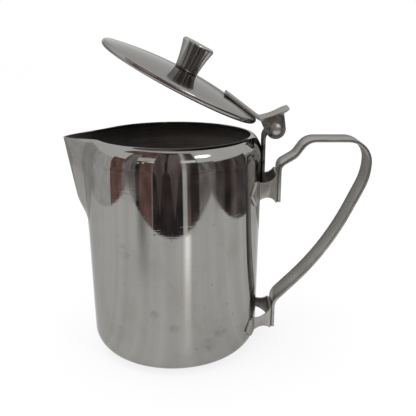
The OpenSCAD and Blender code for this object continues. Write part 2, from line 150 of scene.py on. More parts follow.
class Profile:
    """A pen that draws the half section of a turned piece with vertex extrusions and spins, in the x-z plane."""

    def __init__(self, x, z):
        self.bm = bmesh.new()
        self.tip = self.bm.verts.new((x, 0, z))

    def line(self, x, z, parts=1):
        start = self.tip.co.copy()
        for i in range(1, parts + 1):
            made = bmesh.ops.extrude_vert_indiv(self.bm, verts=[self.tip])
            self.tip = made["verts"][0]
            self.tip.co = start.lerp(Vector((x, 0, z)), i / parts)

    def arc(self, x, z, turn, parts):
        made = bmesh.ops.spin(
            self.bm, geom=[self.tip], cent=(x, 0, z), axis=(0, -1, 0), angle=turn, steps=parts, use_duplicate=False
        )
        self.tip = next(v for v in made["geom_last"] if isinstance(v, bmesh.types.BMVert))


def turned(pen, stages):
    """Spins a profile about z through stages of angle and steps, and closes the seam and the poles."""
    bm = pen.bm
    geom = list(bm.verts) + list(bm.edges)
    for angle, steps in stages:
        made = bmesh.ops.spin(
            bm, geom=geom, cent=(0, 0, 0), axis=(0, 0, 1), angle=angle, steps=steps, use_duplicate=False
        )
        geom = made["geom_last"]
    bmesh.ops.remove_doubles(bm, verts=bm.verts, dist=MERGE)
    return bm


def face_outwards(bm):
    """Recalculates the normals, and turns them if the surface faces its own middle."""
    bmesh.ops.recalc_face_normals(bm, faces=bm.faces)
    middle = sum((v.co for v in bm.verts), Vector()) / len(bm.verts)
    out = sum(f.normal.dot(f.calc_center_median() - middle) * f.calc_area() for f in bm.faces)
    if out < 0:
        bmesh.ops.reverse_faces(bm, faces=bm.faces)


def placed(bm, name, materials):
    """Puts a mesh into the scene as an object."""
    mesh = bpy.data.meshes.new(name)
    bm.to_mesh(mesh)
    bm.free()
    for m in materials:
        mesh.materials.append(m)
    obj = bpy.data.objects.new(name, mesh)
    bpy.context.scene.collection.objects.link(obj)
    return obj


def finish_piece(bm, name, body, slot, replaces, sharp, lining=()):
    """Turns a mesh into a piece that rides on its body and stands for its solid, with edges over an angle sharp."""
    obj = placed(bm, name, [steel(key) for key in (slot, *lining)])
    for p in obj.data.polygons:
        p.use_smooth = True
    obj.data.set_sharp_from_angle(angle=radians(sharp))
    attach(obj, body)
    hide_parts(*replaces)
    return obj


def add_sheet(obj, thickness):
    """Gives a surface the thickness of its sheet, on the inner side."""
    sheet = obj.modifiers.new("sheet", "SOLIDIFY")
    sheet.thickness = thickness
    sheet.offset = -1.0
    sheet.use_even_offset = True
    return sheet


def lid_place(bm):
    """Moves a turned mesh to the closed lid's axis, then about the rivet to the angle at which the lid stands."""
    s = bpy.context.scene.jug_sizes
    bmesh.ops.translate(bm, verts=bm.verts, vec=(-s.lid_shift, 0, 0))
    move = Matrix.Translation(HINGE_AT) @ Matrix.Rotation(s.lid_open, 4, "Y") @ Matrix.Translation(-HINGE_AT)
    bmesh.ops.transform(bm, matrix=move, verts=bm.verts)


# Faces flatter to each other than the first angle are joined, and edges over the second are eased
FLAT = radians(0.5)
EASED_OVER = radians(38)


def eased_copy(node, name, body, slot, width):
    """Makes a merged copy of a strip or sheet solid, with its flat faces joined and its sharp edges eased."""
    bm = bmesh.new()
    bm.from_mesh(nodes[node].data)
    bmesh.ops.remove_doubles(bm, verts=bm.verts, dist=MERGE)
    bmesh.ops.dissolve_limit(bm, angle_limit=FLAT, verts=bm.verts, edges=bm.edges)
    sharp = [e for e in bm.edges if len(e.link_faces) == 2 and e.calc_face_angle(0.0) > EASED_OVER]
    bmesh.ops.bevel(
        bm,
        geom=sharp,
        offset=width,
        offset_type="OFFSET",
        segments=2,
        profile=0.5,
        affect="EDGES",
        clamp_overlap=True,
        material=-1,
    )
    finish_piece(bm, name, body, slot, [node], sharp=30.0)


# Material helpers


class Tree:
    """Short calls for building a node tree."""

    def __init__(self, tree):
        self.tree = tree

    def node(self, kind, values=(), **settings):
        n = self.tree.nodes.new(kind)
        for key, value in settings.items():
            setattr(n, key, value)
        for key, value in dict(values).items():
            n.inputs[key].default_value = value
        return n

    def feed(self, socket, node, key):
        self.tree.links.new(socket, node.inputs[key])

    def put(self, value, node, key):
        if isinstance(value, bpy.types.NodeSocket):
            self.feed(value, node, key)
        else:
            node.inputs[key].default_value = value

    def join(self, a, out, b, into):
        self.feed(a.outputs[out], b, into)

    def parts(self, vector):
        axes = self.node("ShaderNodeSeparateXYZ")
        self.feed(vector, axes, "Vector")
        return [axes.outputs[key] for key in "XYZ"]

    def mapped(self, vector, scale=(1, 1, 1), offset=(0, 0, 0), turn=(0, 0, 0)):
        n = self.node("ShaderNodeMapping", {"Scale": scale, "Location": offset, "Rotation": turn})
        self.feed(vector, n, "Vector")
        return n.outputs["Vector"]

    def noise(self, vector, scale, detail=2.0, rough=0.5):
        n = self.node("ShaderNodeTexNoise", {"Scale": scale, "Detail": detail, "Roughness": rough})
        self.feed(vector, n, "Vector")
        return n.outputs["Fac"]

    def ramp(self, value, low, high, to_low=0.0, to_high=1.0):
        limits = {"From Min": low, "From Max": high, "To Min": to_low, "To Max": to_high}
        n = self.node("ShaderNodeMapRange", limits, interpolation_type="SMOOTHSTEP")
        self.feed(value, n, "Value")
        return n.outputs["Result"]

    def maths(self, how, a, b=0.0):
        n = self.node("ShaderNodeMath", operation=how)
        self.put(a, n, 0)
        self.put(b, n, 1)
        return n.outputs[0]

    def plus(self, a, b):
        return self.maths("ADD", a, b)

    def times(self, a, b):
        return self.maths("MULTIPLY", a, b)

    def most(self, a, b):
        return self.maths("MAXIMUM", a, b)

    def mix(self, fac, a, b):
        n = self.node("ShaderNodeMix", data_type="RGBA")
        for value, key in ((fac, 0), (a, 6), (b, 7)):
            self.put((*value, 1.0) if isinstance(value, tuple) else value, n, key)
        return n.outputs[2]


def emptied(owner, output):
    """The emptied node tree of a material or world, and its output node."""
    owner.use_nodes = True
    owner.node_tree.nodes.clear()
    t = Tree(owner.node_tree)
    return t, t.node(output)


def new_material(name):
    """An empty material, its tree and its output node."""
    mat = bpy.data.materials.new(name)
    return mat, *emptied(mat, "ShaderNodeOutputMaterial")


STAIN = (0.15, 0.13, 0.112)
# Scratches: how far each noise is stretched, and its turn
SCRATCHES = (((60, 60, 900), 0.35), ((900, 700, 40), -0.5), ((500, 90, 700), 1.1))


def wear_and_shade_group():
    """Steel in use: polishing lines, scratches, smudges, specks and darker edges, from a piece's Object coordinates; on
    the strap's ears and lower down the hinge post the darker edges are painted shade.
    """
    group = bpy.data.node_groups.get("steel_wear")
    if group:
        return group
    group = bpy.data.node_groups.new("steel_wear", "ShaderNodeTree")
    face = group.interface
    for name, kind, default in (
        ("Vector", "NodeSocketVector", None),
        ("Steel", "NodeSocketColor", (0.3, 0.3, 0.29, 1)),
        ("Tarnish", "NodeSocketColor", (0.2, 0.18, 0.16, 1)),
        ("Grime", "NodeSocketColor", (0.05, 0.04, 0.04, 1)),
        ("Polish", "NodeSocketFloat", 0.08),
        ("Haze", "NodeSocketFloat", 0.3),
        ("Scratches", "NodeSocketFloat", 0.5),
        ("Specks", "NodeSocketFloat", 0.3),
        ("Stain", "NodeSocketFloat", 0.0),
        ("Edge", "NodeSocketFloat", 0.0),
    ):
        s = face.new_socket(name, in_out="INPUT", socket_type=kind)
        if default is not None:
            s.default_value = default
    for name, kind in (("Color", "NodeSocketColor"), ("Roughness", "NodeSocketFloat"), ("Height", "NodeSocketFloat")):
        face.new_socket(name, in_out="OUTPUT", socket_type=kind)
    t = Tree(group)
    given, result = t.node("NodeGroupInput").outputs, t.node("NodeGroupOutput")
    vec = given["Vector"]
    # Broad smudges and finger marks
    smudge = t.ramp(t.noise(vec, 34.0, 4.0, 0.6), 0.45, 0.72)
    marks = t.ramp(t.noise(t.mapped(vec, (1, 1, 0.45), (3, 1, 2)), 95.0, 3.0, 0.65), 0.5, 0.75)
    haze = t.times(t.plus(smudge, t.times(marks, 0.5)), given["Haze"])
    # Finger prints: curved ridges inside a few soft spots
    curls = {"Scale": 520.0, "Distortion": 9.0, "Detail": 1.0, "Detail Scale": 0.12}
    ridges = t.node("ShaderNodeTexWave", curls, wave_type="RINGS")
    t.feed(vec, ridges, "Vector")
    spots = t.ramp(t.noise(t.mapped(vec, (1, 1, 0.7), (2, 8, 5)), 52.0, 0.0), 0.62, 0.72)
    prints = t.times(t.times(ridges.outputs["Fac"], spots), given["Haze"])
    # Scratches: thin bands of stretched noises
    lines = []
    for scale, turn in SCRATCHES:
        stretched = t.mapped(vec, scale, turn=(turn, 0.2 * turn, turn))
        lines.append(t.ramp(t.noise(stretched, 1.0, 2.0, 0.4), 0.68, 0.74))
    scratch = t.times(reduce(t.most, lines), given["Scratches"])
    # Small dark specks, here and there
    speck = t.ramp(t.noise(t.mapped(vec, (1, 1, 0.6), (7, 5, 3)), 620.0, 1.0, 0.4), 0.73, 0.78)
    where = t.ramp(t.noise(vec, 55.0), 0.5, 0.66)
    speck = t.times(t.times(speck, where), given["Specks"])
    # Grain lines round the piece
    grain = t.noise(t.mapped(vec, (18, 18, 1300)), 1.0, 2.0, 0.55)
    # Stains and darker edges break up into patches; the edges are dirty, but along the strap's ears and lower down the
    # hinge post they are painted shade
    patches = t.ramp(t.noise(vec, 160.0, 4.0, 0.65), 0.34, 0.66)
    stain = t.times(patches, given["Stain"])
    edge = t.times(t.plus(t.times(patches, 0.5), 0.5), given["Edge"])
    # Turning and brushing lines show a little in the colour too
    color = t.mix(haze, given["Steel"], given["Tarnish"])
    color = t.mix(stain, color, STAIN)
    # Darker edges take the grime colour: dirt on most pieces, painted shade on the strap's ears and the hinge post
    for layer in (edge, t.times(grain, given["Polish"]), speck):
        color = t.mix(layer, color, given["Grime"])
    t.feed(color, result, "Color")
    rough = given["Polish"]
    for layer, added in ((haze, 0.22), (prints, 0.3), (t.most(stain, edge), 0.14), (scratch, 0.16), (speck, 0.3)):
        rough = t.plus(rough, t.times(layer, added))
    t.feed(rough, result, "Roughness")
    t.feed(t.maths("SUBTRACT", t.times(grain, 0.35), t.plus(scratch, speck)), result, "Height")
    return group


def lid_frame(t, coord):
    """Object coordinates turned back into the closed lid's frame, about its own axis."""
    s = bpy.context.scene.jug_sizes
    back = Matrix.Rotation(-s.lid_open, 3, "Y")
    offset = HINGE_AT + Vector((s.lid_shift, 0, 0)) - back @ HINGE_AT
    return t.mapped(coord, offset=offset, turn=(0, -s.lid_open, 0))


def grain_vector(t, vec, run):
    """The vector whose third part counts the grain lines: round z, in rings, or along a strip."""
    if run == "round":
        return vec
    x, y, z = t.parts(vec)
    parts = (x, z, y)
    if run == "rings":
        parts = (x, y, t.maths("SQRT", t.plus(t.times(x, x), t.times(y, y))))
    joined = t.node("ShaderNodeCombineXYZ")
    for part, key in zip(parts, "XYZ"):
        t.feed(part, joined, key)
    return joined.outputs["Vector"]


def mask_along(t, vec, axis, low, high, both=False):
    """A soft mask along one axis of a vector, of its absolute value if both ends count."""
    value = t.parts(vec)["XYZ".index(axis)]
    if both:
        value = t.maths("ABSOLUTE", value)
    return t.ramp(value, low, high)


def mask_round(t, vec, middle, low, high):
    """A soft mask of the distance from a point."""
    d = t.node("ShaderNodeVectorMath", {1: middle}, operation="DISTANCE")
    t.feed(vec, d, 0)
    return t.ramp(d.outputs["Value"], low, high)


# The look of each slot: bump and waves are how deep its fine and its slow relief are, grain says how its lines run,
# on_lid that it lies in the lid's frame, glance how bright it is when seen along its surface, and clean its share of
# clean metal
Look = namedtuple("Look", "colour polish haze scratches specks bump waves grain on_lid glance clean")
LOOKS = {
    "body_steel": Look("steel", 0.045, 0.34, 0.3, 0.45, 0.3, 0.0002, "round", False, 0.72, 1.0),
    "lid_steel": Look("steel", 0.1, 0.14, 0.3, 0.25, 0.05, 0.00006, "rings", True, 0.58, 1.0),
    "knob_steel": Look("knob_steel", 0.08, 0.2, 0.3, 0.2, 0.03, 0.0, "round", True, 0.5, 0.95),
    "handle_steel": Look("strap_steel", 0.27, 0.3, 0.5, 0.3, 0.4, 0.0, "along", False, 0.5, 0.97),
    "bracket_steel": Look("sheet_steel", 0.3, 0.4, 0.7, 0.6, 0.5, 0.0, "round", False, 0.5, 0.85),
    "hinge_steel": Look("sheet_steel", 0.36, 0.4, 0.8, 0.5, 0.5, 0.0, "along", False, 0.5, 0.87),
    "rivet_steel": Look("strap_steel", 0.36, 0.3, 0.5, 0.5, 0.3, 0.0, "round", False, 0.5, 0.95),
    "screw_steel": Look("strap_steel", 0.28, 0.4, 0.5, 0.6, 0.3, 0.0, "round", False, 0.5, 0.95),
    "inner_steel": Look("inner_steel", 0.55, 0.3, 0.3, 0.3, 0.3, 0.0, "round", False, 0.5, 1.0),
}
BUMP_DEPTH = 0.00003
WAVE_SCALE = 42.0
WAVE_STRETCH = (1.0, 1.0, 0.22)

# Places on the body where it is scuffed, with the reach of each
SCUFFS = (
    (-0.0216, -0.0387, 0.0645, 0.005),
    (-0.0077, -0.0436, 0.0337, 0.003),
    (0.0018, -0.0443, 0.0264, 0.0035),
    (0.0181, -0.0404, 0.0152, 0.006),
    (0.0244, -0.037, 0.0212, 0.005),
)
SCUFF_CORE = 0.3
# Soft stains beside the two brackets: middle, and the distances where they start and are full
STAINS = (((0.0445, -0.012, 0.0136), 0.024, 0.008), ((0.045, -0.012, 0.086), 0.022, 0.009))
# Where wear, dirt and painted shade start and where they are full, along an axis; EAR_EDGE and POST_FOOT place painted
# shade along the strap's ears and lower down the hinge post
BODY_FOOT, BODY_SIDE = (0.022, 0.0), (0.0, 0.04)
HANDLE_EDGE, HANDLE_ROOTS = (0.0071, 0.0075), (0.072, 0.052)
EAR_EDGE, POST_FOOT = (0.0066, 0.0074), (0.122, 0.113)
BRACKET_EDGE = (0.0125, 0.02)
# The same, by the distance from the rivet's axis: the dark line round the rivet's head, the reach of the painted shade
# along the ears, and the head's darker edge
HEAD_RING, EAR_REACH, HEAD_EDGE = (0.0043, 0.0033), (0.0085, 0.007), (0.0022, 0.0031)


def wear_and_shade_masks(t, slot, place, wear):
    """Where a piece is stained, where its edges are dirty, and where shade is painted along the strap's ears and lower
    down the hinge post. The number beside a mask is how much shows there.
    """
    stain = edge = None
    rivet = (HINGE_AT.x, 0.0, HINGE_AT.z)
    if slot == "body_steel":
        foot = t.times(mask_along(t, place, "Z", *BODY_FOOT), t.times(mask_along(t, place, "X", *BODY_SIDE), 0.6))
        spots = [mask_round(t, place, (x, y, z), far, far * SCUFF_CORE) for x, y, z, far in SCUFFS]
        spots += [mask_round(t, place, *spot) for spot in STAINS]
        stain = t.times(reduce(t.most, spots, foot), 0.5)
    elif slot == "handle_steel":
        edge = t.times(mask_along(t, place, "Y", *HANDLE_EDGE, both=True), 0.35)
        stain = t.times(mask_along(t, place, "X", *HANDLE_ROOTS), 0.08)
    elif slot == "hinge_steel":
        # Painted shade: a dark line along the sides of the strap's ears, and shade deepening lower down the hinge post.
        # The ring round the rivet's head is the line where it meets the strap.
        flat = t.mapped(place, (1, 0, 1))
        ears = t.times(mask_round(t, flat, rivet, *EAR_REACH), 0.85)
        side = t.times(mask_along(t, place, "Y", *EAR_EDGE, both=True), ears)
        edge = t.most(t.most(mask_round(t, flat, rivet, *HEAD_RING), side), mask_along(t, place, "Z", *POST_FOOT))
    elif slot == "bracket_steel":
        edge = t.times(mask_along(t, place, "Y", *BRACKET_EDGE, both=True), 0.15)
        stain = 0.1
    elif slot in ("knob_steel", "lid_steel"):
        stain = 0.05
    elif slot == "rivet_steel":
        edge = t.times(mask_round(t, t.mapped(place, (1, 0, 1)), rivet, *HEAD_EDGE), 0.6)
    for value, key in ((stain, "Stain"), (edge, "Edge")):
        if value is not None:
            t.put(value, wear, key)


def steel(slot):
    """A worn steel: the wear group feeds a metal shader, with a slow waviness of the sheet in its normal. On the strap
    and the hinge post the group also paints shade.
    """
    name = "worn_" + slot
    old = bpy.data.materials.get(name)
    if old:
        return old
    look = LOOKS[slot]
    c = bpy.context.scene.jug_colours
    mat, t, out = new_material(name)
    shine = {"Metallic": look.clean, "Specular Tint": (look.glance, look.glance, look.glance, 1)}
    metal = t.node("ShaderNodeBsdfPrincipled", shine)
    t.join(metal, "BSDF", out, "Surface")
    place = t.node("ShaderNodeTexCoord").outputs["Object"]
    if look.on_lid:
        place = lid_frame(t, place)
    amounts = {
        "Steel": (*getattr(c, look.colour), 1),
        "Tarnish": (*c.tarnish, 1),
        "Grime": (*c.grime, 1),
        "Polish": look.polish,
        "Haze": look.haze,
        "Scratches": look.scratches,
        "Specks": look.specks,
    }
    wear = t.node("ShaderNodeGroup", amounts, node_tree=wear_and_shade_group())
    t.feed(grain_vector(t, place, look.grain), wear, "Vector")
    wear_and_shade_masks(t, slot, place, wear)
    t.join(wear, "Color", metal, "Base Color")
    t.join(wear, "Roughness", metal, "Roughness")
    fine = t.node("ShaderNodeBump", {"Strength": look.bump, "Distance": BUMP_DEPTH})
    t.join(wear, "Height", fine, "Height")
    if look.waves:
        slow = t.node("ShaderNodeBump", {"Strength": 1.0, "Distance": look.waves})
        t.feed(t.noise(t.mapped(place, WAVE_STRETCH), WAVE_SCALE, 1.0), slow, "Height")
        t.join(slow, "Normal", fine, "Normal")
    t.join(fine, "Normal", metal, "Normal")
    return mat


# Steps round the turned pieces, the body's apart from the fan over its spout
BODY_ROUND = 108
LID_ROUND = 144
KNOB_ROUND = 96


# The body with its drawn spout

# How far up the shoulder its large arc passes into the small one
SPLIT = radians(35)
# How much of the keel rises evenly, and the height by which the rest has bulged out
KEEL_EVEN = 0.7
KEEL_BULGE = 0.34
# The beak's width at its root as a share of the width at its edge, how round its section is at the two, and how
# hollow its flanks are
ROOT_SHARE = 0.35
ROUND_AT_ROOT = 2.0
ROUND_AT_EDGE = 1.6
FLANK_HOLLOW = 2.9
# The wall's rows are longer up to this share of its height
LOWER_WALL = 0.55
# The fan of finer steps over the spout: its reach beyond the spout's half angle, and its shares and steps
FAN_REACH = 1.1
FAN_PARTS = ((0.7, 18), (0.6, 30), (0.7, 18))
# The rounding of the cut edge, as a share of the sheet, and the angle over which an edge is rounded
RIM_ROUND = 0.28
RIM_OVER = radians(55)


class BodyForm:
    """The body's section and its beak, in the same terms as the solid."""

    def __init__(self, s):
        self.top_r, self.low_r, mouth_r = s.body_d / 2, s.foot_d / 2, s.mouth_d / 2
        self.corner = s.corner_r
        self.wall_top = s.body_h - s.shoulder_h
        k = tan(SPLIT / 2)
        self.small = (self.top_r - mouth_r - k * s.shoulder_h) / (cos(SPLIT) - k * (1 - sin(SPLIT)))
        self.large = (s.shoulder_h - (1 - sin(SPLIT)) * self.small) / sin(SPLIT)
        self.c1 = (self.top_r - self.large, self.wall_top)
        gap = self.large - self.small
        self.c2 = (self.c1[0] + gap * cos(SPLIT), self.c1[1] + gap * sin(SPLIT))
        self.tip_z = s.body_h - s.tip_drop
        self.root_z = s.body_h - s.spout_h
        self.half = s.spout_half
        self.reach = s.spout_reach - self.wall_r(self.tip_z)

    def wall_r(self, z):
        return self.low_r + (self.top_r - self.low_r) * (z - self.corner) / (self.wall_top - self.corner)

    def keel(self, r, z):
        """Where a point of the section goes on the beak's middle line, and its share of the beak's height."""
        kz = z
        if z > self.wall_top:
            centre = self.c1 if atan2(z - self.c1[1], r - self.c1[0]) <= SPLIT else self.c2
            angle = atan2(z - centre[1], r - centre[0])
            kz = self.wall_top + (self.tip_z - self.wall_top) * min(1.0, angle / (pi / 2))
        u = max(0.0, (kz - self.root_z) / (self.tip_z - self.root_z))
        t = min(1.0, u / KEEL_BULGE)
        out = KEEL_EVEN * u + (1 - KEEL_EVEN) * t * t * (3 - 2 * t)
        return self.wall_r(kz) + self.reach * out, kz, u

    def beak(self, angle, u):
        width = self.half * (ROOT_SHARE + (1 - ROOT_SHARE) * u)
        t = min(1.0, abs(angle) / width)
        power = ROUND_AT_ROOT + (ROUND_AT_EDGE - ROUND_AT_ROOT) * u
        return (1 - t**power) ** FLANK_HOLLOW


class JUG_OT_body(bpy.types.Operator):
    """Make the drawn body: a revolve whose front is drawn out into a beak, with the thickness of its sheet"""

    bl_idname = "jug.body"
    bl_label = "Body"

    def execute(self, context):
        s = context.scene.jug_sizes
        form = BodyForm(s)
        pen = Profile(0, 0)
        pen.line(form.low_r - form.corner, 0, 6)
        pen.arc(form.low_r - form.corner, form.corner, pi / 2, 12)
        wall_h = form.wall_top - form.corner
        pen.line(form.low_r + (form.top_r - form.low_r) * LOWER_WALL, form.corner + wall_h * LOWER_WALL, 14)
        pen.line(form.top_r, form.wall_top, 26)
        pen.arc(form.c1[0], form.c1[1], SPLIT, 9)
        pen.arc(form.c2[0], form.c2[1], pi / 2 - SPLIT, 12)
        fan = s.spout_half * FAN_REACH
        start = Matrix.Rotation(pi + fan, 3, "Z")
        bmesh.ops.rotate(pen.bm, verts=pen.bm.verts, cent=(0, 0, 0), matrix=start)
        bm = turned(pen, [(2 * pi - 2 * fan, BODY_ROUND)] + [(fan * part, steps) for part, steps in FAN_PARTS])
        for v in bm.verts:
            r, a = hypot(v.co.x, v.co.y), atan2(v.co.y, -v.co.x)
            if v.co.z > form.root_z and abs(a) < s.spout_half:
                kr, kz, u = form.keel(r, v.co.z)
                f = form.beak(a, u)
                r, z = r + (kr - r) * f, v.co.z + (kz - v.co.z) * f
                v.co = (-r * cos(a), r * sin(a), z)
        face_outwards(bm)
        body = finish_piece(bm, "body", JUG, "body_steel", ["jug_body"], sharp=50.0, lining=["inner_steel"])
        sheet = add_sheet(body, s.wall)
        sheet.material_offset = 1
        sheet.material_offset_rim = 0
        rim = body.modifiers.new("rim", "BEVEL")
        rim.width = s.wall * RIM_ROUND
        rim.segments = 2
        rim.limit_method = "ANGLE"
        rim.angle_limit = RIM_OVER
        return {"FINISHED"}


class JUG_OT_strips(bpy.types.Operator):
    """Make the handle, the two brackets and the hinge post, with eased edges"""

    bl_idname = "jug.strips"
    bl_label = "Handle, brackets and post"

    def execute(self, context):
        ease = context.scene.jug_sizes.edge_ease
        # Solid, piece, slot, and the width of its eased edges in shares of the usual width
        for node, name, slot, share in (
            ("handle", "handle_strip", "handle_steel", 1.6),
            ("upper_bracket", "bracket_upper", "bracket_steel", 1.4),
            ("lower_bracket", "bracket_lower", "bracket_steel", 1.4),
            ("hinge_post", "post", "hinge_steel", 1.0),
        ):
            eased_copy(node, name, JUG, slot, share * ease)
        return {"FINISHED"}


# How far the lid's edge curls round, from straight up
CURL = radians(190)


def lid_dome(s):
    """The closed lid's dome: its radius, the height of its middle, its half angle and the height of its edge."""
    lid_r, bead = s.lid_d / 2, s.bead_r
    bead_z = s.body_h + s.lid_gap + bead
    dome_r = (lid_r * lid_r + s.dome_h * s.dome_h) / (2 * s.dome_h)
    angle = asin((lid_r - bead) / (dome_r - bead))
    return dome_r, bead_z - (dome_r - bead) * cos(angle), angle, bead_z


class JUG_OT_lid(bpy.types.Operator):
    """Make the lid: a shallow dome with a curled edge"""

    bl_idname = "jug.lid"
    bl_label = "Lid"

    def execute(self, context):
        s = context.scene.jug_sizes
        dome_r, middle, angle, bead_z = lid_dome(s)
        pen = Profile(0, middle + dome_r)
        pen.arc(0, middle, -angle, 28)
        pen.arc(s.lid_d / 2 - s.bead_r, bead_z, -(CURL - angle), 22)
        bm = turned(pen, [(2 * pi, LID_ROUND)])
        face_outwards(bm)
        lid_place(bm)
        lid = finish_piece(bm, "lid_dome", LID, "lid_steel", ["lid_disc"], sharp=60.0)
        add_sheet(lid, s.lid_t)
        return {"FINISHED"}


KNOB_FOOT_EDGE = 0.0003
# The hollow of the knob's side stops a little under its top edge
KNOB_SWEEP = 0.98


class JUG_OT_knob(bpy.types.Operator):
    """Turn the knob"""

    bl_idname = "jug.knob"
    bl_label = "Knob"

    def execute(self, context):
        s = context.scene.jug_sizes
        dome_r, middle, _, _ = lid_dome(s)
        base = middle + dome_r + s.seat_gap
        foot = Vector((s.knob_foot_d / 2, 0, base))
        top = Vector((s.knob_top_d / 2, 0, base + s.knob_h - s.knob_edge_r))
        half = (top - foot).length / 2
        slope = atan2(top.z - foot.z, top.x - foot.x)
        away = sqrt(s.knob_side_r**2 - half**2)
        hollow = (foot + top) / 2 + away * Vector((sin(slope), 0, -cos(slope)))
        sweep = 2 * asin(half / s.knob_side_r)
        pen = Profile(0, base)
        pen.line(foot.x - KNOB_FOOT_EDGE, base, 2)
        pen.line(foot.x, base + KNOB_FOOT_EDGE)
        pen.arc(hollow.x, hollow.z, -sweep * KNOB_SWEEP, 16)
        pen.line(top.x, top.z)
        pen.arc(top.x - s.knob_edge_r, top.z, pi / 2, 8)
        pen.line(0, base + s.knob_h, 6)
        bm = turned(pen, [(2 * pi, KNOB_ROUND)])
        face_outwards(bm)
        lid_place(bm)
        finish_piece(bm, "knob", LID, "knob_steel", ["lid_knob"], sharp=50.0)
        return {"FINISHED"}


class JUG_OT_hinge(bpy.types.Operator):
    """Make the lid's strap, and give the rivet that it turns on and the knob's screw their steel"""

    bl_idname = "jug.hinge"
    bl_label = "Strap, rivet and screw"

    def execute(self, context):
        eased_copy("lid_strap", "strap", LID, "hinge_steel", context.scene.jug_sizes.edge_ease)
        for node, slot in (("hinge_rivet", "rivet_steel"), ("knob_screw", "screw_steel")):
            materials = nodes[node].data.materials
            materials.clear()
            materials.append(steel(slot))
        return {"FINISHED"}


# The studio

CAMERA_AT = Vector((0.0177, -0.2921, 0.1627))
CAMERA_TILT = radians(17.0)
CAMERA_LENS = 50.4
KEY_AT, KEY_SIZE, KEY_POWER, KEY_COLOUR = (0.415, -0.42, 0.56), (0.24, 0.11), 0.45, (0.9, 0.97, 1.0)
FILL_AT, FILL_SIZE, FILL_POWER = (-0.3, -0.1, 1.0), 0.8, 2.0
# The pale sheet that the body mirrors lies between these sides
SHEET_X = (-0.293, 0.256)
SHEET_Y = (-0.228, 0.172)


def area_lamp(name, at, towards, size, power):
    """A round lamp that faces a point."""
    data = bpy.data.lights.new(name, "AREA")
    data.shape = "DISK"
    data.size = size
    data.energy = power
    lamp = bpy.data.objects.new(name, data)
    lamp.location = at
    lamp.rotation_euler = (Vector(towards) - Vector(at)).to_track_quat("-Z", "Y").to_euler()
    bpy.context.scene.collection.objects.link(lamp)
    return lamp


# How the folds in the cards are stretched, their scale, and the levels between which they change
FOLD_STRETCH = (1, 1, 0.15)
FOLD_SCALE = 11.0
FOLD_LEVELS = (0.32, 0.68)
# The cards, with the contrast of the folds in each
CARDS = {
    "card_dark": 0.4,
    "card_brown": 0.4,
    "card_drape": 0.4,
    "card_umber": 0.4,
    "card_dusk": 0.4,
    "card_grey": 0.12,
    "card_mist": 0.12,
    "card_soft": 0.12,
    "card_pale": 0.12,
    "card_light": 0.12,
}
KEYS = list(CARDS)
# Heights of the flat cards and of the strips over the floor
CARD_Z = 0.0004
STRIP_Z = 0.0006
# Where the sectors start, how far out they stand, the hole under the jug, and the degrees of each face
ROOM_START = radians(-168)
ROOM_R = 1.1
ROOM_HOLE = 0.03
ROOM_STEP = 5
# Sectors round the sheet, from the left of the camera round to the right: degrees of arc, card and height
ROOM = (
    (18.5, "card_brown", 0.6),
    (17.5, "card_dusk", 2.1),
    (4.5, "card_dark", 2.1),
    (15, "card_brown", 2.1),
    (1, "card_grey", 2.1),
    (34.8, "card_dark", 2.1),
    (5, "card_pale", 2.1),
    (4, "card_drape", 2.1),
    (10.7, "card_dark", 2.1),
    (21, "card_dusk", 0.5),
    (12, "card_umber", 0.42),
    (9, "card_dark", 0.42),
    (3, "card_umber", 0.42),
    (6, "card_drape", 0.42),
    (20, "card_umber", 0.42),
    (12, "card_grey", 0.3),
    (95, "card_grey", 0.26),
    (37, "card_mist", 0.5),
    (34, "card_soft", 0.5),
)
# Drapes that hang before the dark card and run to a point on the floor: distance and azimuth of the point, and the
# two azimuths of the hem
DRAPES = ((0.277, -103, -109.5, -96.5), (0.27, -86, -93, -78))
DRAPE_R = 0.287
DRAPE_HEM = 0.06
DRAPE_H = 0.45
# Small cards overhead, at a distance from a point in the jug: azimuth and elevation, width, height and card
LIGHT_R = 0.9
LIGHT_ROUND = Vector((0, 0, 0.1))
LIGHT_CARDS = (
    (-122, 31, 0.3, 0.2, "card_pale"),
    (-124, 20, 0.03, 0.08, "card_light"),
    (-130, 18, 0.02, 0.06, "card_light"),
    (-115, 23, 0.12, 0.03, "card_light"),
    (-71, 26, 0.36, 0.12, "card_light"),
    (-100, 82, 0.9, 0.7, "card_pale"),
    (-139, 56, 0.62, 0.36, "card_brown"),
)


def card_material(name, shade, contrast):
    """A card with its own even shade and soft folds, which reflections show whatever the lamps do."""
    mat, t, out = new_material(name)
    glow = t.node("ShaderNodeEmission")
    coord = t.node("ShaderNodeTexCoord").outputs["Object"]
    folds = t.ramp(t.noise(t.mapped(coord, FOLD_STRETCH), FOLD_SCALE, 3.0), *FOLD_LEVELS)
    low, high = (tuple(k * v for v in shade) for k in (1 - contrast, 1 + contrast))
    t.feed(t.mix(folds, low, high), glow, "Color")
    t.join(glow, "Emission", out, "Surface")
    return mat


# Soft strips on the sheet, one of light and one of shade: corners, then the middle line, the half width, the shade,
# and the strength and the share of it near the jug's foot and at the sheet's edge
STRIPS = (
    (
        ((0.003, -0.06), (0.0375, -0.227), (0.111, -0.213), (0.0225, -0.056)),
        ((0.0084, 0.366), 0.125, "card_lit", (1.1, 2.2), (1, 1)),
    ),
    (
        ((-0.06, -0.05), (-0.25, -0.227), (-0.09, -0.227), (-0.03, -0.07)),
        ((0.0, -0.7), 0.27, "card_shade", (1, 1), (0, 0.65)),
    ),
)
# Where the strength and the share start to change, and where they end
STRENGTH_Y = (-0.05, -0.21)
SHARE_Y = (-0.08, -0.22)


